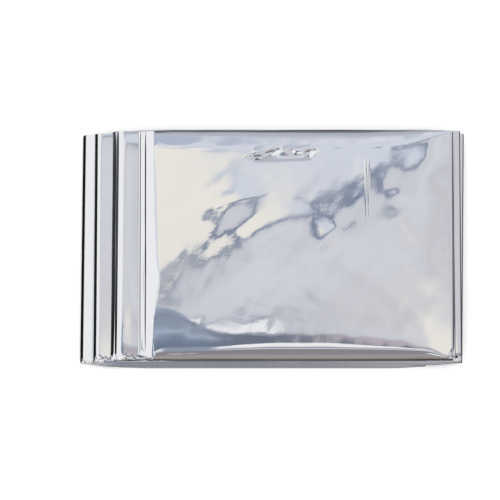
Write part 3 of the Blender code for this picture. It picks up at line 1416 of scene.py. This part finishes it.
RELIEF = Relief(
    shoulder=(
        Contour(
            slope=0.0,
            x=(-42.0, -33.0, -24.0, -15.0, 0.0, 20.0, 44.0, 52.0, 58.0),
            y=(-17.0, -20.0, -24.0, -25.0, -25.0, -26.0, -26.0, -24.0, -24.0),
        ),
        Contour(
            slope=0.012,
            x=(-42.0, -36.0, -31.0, -26.0, -20.0, -13.0, -1.0, 20.0, 44.0, 52.0, 58.0),
            y=(-19.5, -20.5, -22.8, -26.3, -29.2, -30.1, -30.5, -30.3, -31.0, -30.0, -30.0),
        ),
        Contour(
            slope=0.035,
            x=(-42.0, -36.0, -31.0, -26.0, -20.0, -13.0, -1.0, 20.0, 44.0, 52.0, 58.0),
            y=(-22.0, -22.8, -24.9, -28.2, -30.9, -31.7, -32.5, -32.1, -33.6, -36.0, -38.0),
        ),
        Contour(
            slope=0.16,
            x=(-42.0, -25.0, -15.0, -1.0, 20.0, 44.0, 52.0, 58.0),
            y=(-36.8, -36.9, -35.1, -34.1, -34.1, -35.6, -37.5, -39.5),
        ),
        Contour(
            slope=0.33,
            x=(-42.0, -25.0, -15.0, -1.0, 20.0, 44.0, 52.0, 58.0),
            y=(-38.2, -38.2, -37.8, -37.0, -36.9, -37.6, -39.0, -41.0),
        ),
    ),
    dents=(
        Dent(-15.3, 15.5, 6.5, 4.8, 37, 0.32),
        Dent(-23.6, 14.0, 3.4, 2.2, 50, 0.09),
        Dent(-3.8, 8.1, 13.0, 6.5, 28, 0.12),
        Dent(-42.7, -5.9, 8.0, 7.0, 14, 0.12),
        Dent(-10.8, -6.6, 6.5, 6.0, 20, 0.08),
        Dent(33.0, 27.7, 3.5, 9.5, 0, 0.075),
        Dent(20.1, 2.8, 4.0, 3.2, 30, 0.12),
        Dent(24.6, 7.4, 2.6, 2.6, 0, -0.05),
        Dent(35.8, 28.8, 1.8, 2.6, 0, 0.035),
        Dent(38.5, 22.8, 1.8, 2.4, 20, 0.035),
        Dent(39.2, 26.3, 2.6, 4.0, 0, 0.08),
        Dent(40.3, 16.9, 2.8, 2.8, 0, 0.08),
        Dent(46.9, 5.3, 3.6, 3.2, 0, 0.07),
        Dent(22.6, -2.4, 3.4, 3.0, 20, 0.055),
        Dent(43.4, 9.8, 2.8, 2.8, 0, 0.18),
        Dent(42.7, 16.5, 2.2, 2.2, 0, 0.07),
        Dent(52.8, 27.0, 4.5, 4.0, 0, 0.12),
        Dent(-0.4, 32.4, 2.0, 0.7, 14, -0.75),
        Dent(6.2, 32.8, 0.8, 0.45, -6, -0.45),
        Dent(12.5, 32.4, 1.1, 0.65, 4, -0.75),
        Dent(-5.6, 30.7, 1.6, 0.42, 4, -0.4),
        Dent(-36.5, -22.4, 2.6, 1.6, 20, 0.035),
        Dent(-30.9, -25.2, 3.0, 1.3, -35, 0.04),
        Dent(-26.4, -28.0, 2.6, 1.1, 40, -0.03),
        Dent(-33.0, -29.8, 2.0, 1.4, 0, 0.03),
        Dent(-35.1, 37.2, 5.0, 2.0, 8, -0.05),
        Dent(-25.4, 38.2, 4.0, 1.6, -6, 0.04),
        Dent(-17.7, 36.5, 5.0, 1.8, 10, -0.05),
        Dent(-9.0, 38.2, 4.0, 1.8, -10, 0.04),
    ),
    creases=(
        Crease(((-28.8, 33.3), (-8.0, 33.4), (23.2, 33.7)), 0.9, -0.004, 6.0),
        Crease(((19.8, 33.3), (26.7, 33.6), (40.6, 33.8)), 1.4, -0.037, 3.0),
        Crease(((-7.3, 32.5), (-3.8, 33.0), (3.8, 33.1), (9.4, 33.3), (14.2, 33.6)), 1.7, 0.16, 1.2),
        Crease(((-7.7, 30.4), (-3.8, 30.6), (3.8, 30.8), (9.4, 31.0), (13.9, 31.5)), 2.0, -0.23, 1.5),
        Crease(((-4.2, 30.0), (-3.1, 29.1), (-3.3, 27.0), (-4.5, 25.3)), 0.5, 0.016, 1.2),
        Crease(((-9.9, 33.7), (-9.4, 32.1), (-7.8, 30.9)), 0.5, 0.022, 1.2),
        Crease(((31.9, 34.4), (32.0, 25.6), (32.3, 7.7)), 0.45, 0.012, 3.0),
        Crease(((32.9, 34.4), (33.0, 25.6), (33.2, 7.7)), 0.45, 0.012, 3.0),
        Crease(
            ((-10.4, -0.3), (-5.2, 3.9), (0.7, 7.0), (6.6, 9.5), (11.4, 7.7), (16.3, 3.9), (21.2, 0.4)),
            6.5, 0.1, 4.0,
        ),
        Crease(((-20.5, 12.6), (-16.7, 14.7), (-11.5, 15.6), (-3.8, 17.6), (1.4, 20.0)), 0.6, 0.012, 2.0),
        Crease(((38.2, 34.7), (44.1, 35.8), (48.2, 36.7), (53.8, 37.5)), 2.5, 0.018, 3.0),
        Crease(((9.4, 4.6), (33.7, -15.1)), 5.0, 0.05, 12.0),
        Crease(((21.5, -1.0), (58.0, -29.8)), 6.0, 0.05, 14.0),
        Crease(((4.2, -5.9), (26.7, -25.6)), 5.0, 0.04, 12.0),
        Crease(((37.1, -1.7), (60.8, -16.5)), 5.0, 0.04, 12.0),
    ),
    ripples=(
        Ripple(6.3, 20, 0.0018, 0.4),
        Ripple(4.7, 75, 0.0012, 2.0),
        Ripple(8.9, 130, 0.0045, 1.1),
        Ripple(3.4, 160, 0.0007, 3.7),
        Ripple(5.6, -35, 0.0018, 5.0),
    ),
)

# Each patch lies over those before it.
STUDIO = Studio(
    dark=tone(24, 26, 26),
    patches=(
        Patch(0, -75, (80, 30), GREY, 5),
        Patch(0, -82, (80, 19), tone(72, 76, 82), 4),
        Patch(0, -37, (60, 15), STEEL, 6),
        Patch(0, -20, (40, 9), tone(206, 212, 223), 3),
        Patch(7, -21, (7, 5.5), tone(230, 231, 238), 2),
        Patch(-5.5, -21, (5, 6), tone(186, 195, 211), 1.5),
        Patch(105, 0, (32, 75), tone(136, 136, 142), 4),
        Patch(78, 0, (20, 75), tone(100, 100, 106), 3),
        Patch(37, 0, (24, 75), tone(212, 212, 218), 2),
        Patch(43, 69, (20, 24), tone(216, 219, 226), 8),
        Patch(-43, 69, (20, 24), tone(226, 226, 228), 8),
        Patch(43, -69, (20, 24), tone(206, 210, 218), 8),
        Patch(-43, -69, (20, 24), tone(222, 224, 230), 8),
        Patch(0, -7, (13, 11), LILAC, 2),
        Patch(2.8, -7.5, (20, 0.7), tone(222, 223, 230), 0.6, roll=33),
        Patch(4.4, -5.2, (20, 0.6), tone(206, 206, 211), 0.6, roll=33),
        Patch(13, -2.7, (8.5, 3.4), CREAM, 2),
        Patch(-2.2, -14.4, (20, 5.2), SKY, 0.15, roll=33),
        Patch(-5.6, -12.2, (5, 5.2), CREAM, 1.0, roll=33),
        Patch(-2.6, -14.2, (1.8, 0.9), tone(200, 208, 221), 0.8, roll=20),
        Patch(3.3, -12.5, (0.9, 0.6), tone(184, 190, 204), 0.5, roll=33),
        Patch(-0.3, -9.35, (2.4, 0.8), tone(158, 168, 188), 0.5, roll=33),
        Patch(1.7, -10.8, (0.9, 0.6), tone(150, 160, 180), 0.4, roll=33),
        Patch(0.7, -10.0, (20, 0.35), NAVY, 0.2, roll=33),
        Patch(-5.0, -5.4, (1.8, 0.55), tone(186, 191, 202), 0.5, roll=33),
        Patch(-9.4, 1.9, (5.9, 5.4), tone(152, 165, 183), 1.0),
        Patch(-7.6, 2.2, (1.6, 0.9), tone(168, 180, 196), 0.8),
        Patch(-9.4, -1.6, (1.3, 1.2), tone(164, 176, 192), 0.8),
        Patch(-2.0, -1.9, (2.35, 1.7), tone(128, 140, 162), 0.3),
        Patch(-1.8, -1.9, (1.8, 1.1), WHITE, 0.3),
        Patch(0, 7.2, (60, 7.2), DEEP, 0.6),
        Patch(14, 7.2, (13, 7.2), PLUM, 0.6),
        Patch(0, 27, (60, 12), tone(205, 208, 216), 1.0),
        Patch(0, 19.5, (60, 4.5), WHITE, 0.8),
        Patch(0, 27.5, (60, 1.8), tone(136, 142, 153), 1.0),
        Patch(-12, 20, (9, 20), HAZE, 2.5),
        Patch(-6.4, 5.4, (3.4, 1.2), tone(170, 183, 203), 1.5, roll=12),
        Patch(-6.6, 11.2, (4.4, 2.4), tone(112, 126, 148), 2.2),
        Patch(0, 66, (36, 28), tone(143, 140, 143), 3),
        Patch(0, 39.5, (60, 1.5), tone(118, 118, 124), 1.5),
        Patch(-37, 0, (23, 75), WHITE, 1.2),
        Patch(0, 106, (80, 14), tone(163, 159, 160), 4),
        Patch(0, 127, (80, 8), tone(146, 138, 127), 3),
        Patch(0, 146, (80, 13), tone(42, 41, 39), 4),
    ),
)


def main() -> None:
    """Builds the stage and the blanket, piece by piece."""
    log.info("packed nodes: %d", len(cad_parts))
    floor = STUDIO.floor()
    blanket = FoilBlanket(RELIEF)
    piece = blanket.build()
    blanket.dress(piece)
    blanket.declare(piece)
    mesh = piece.data
    mesh.calc_loop_triangles()
    area = sum(polygon.area for polygon in mesh.polygons)
    log.info("%s: %d triangles, %.3f square metres", piece.name, len(mesh.loop_triangles), area)
    STUDIO.light()
    STUDIO.camera()
    bpy.context.scene.view_settings.view_transform = "Standard"


if __name__ == "__main__":
    main()
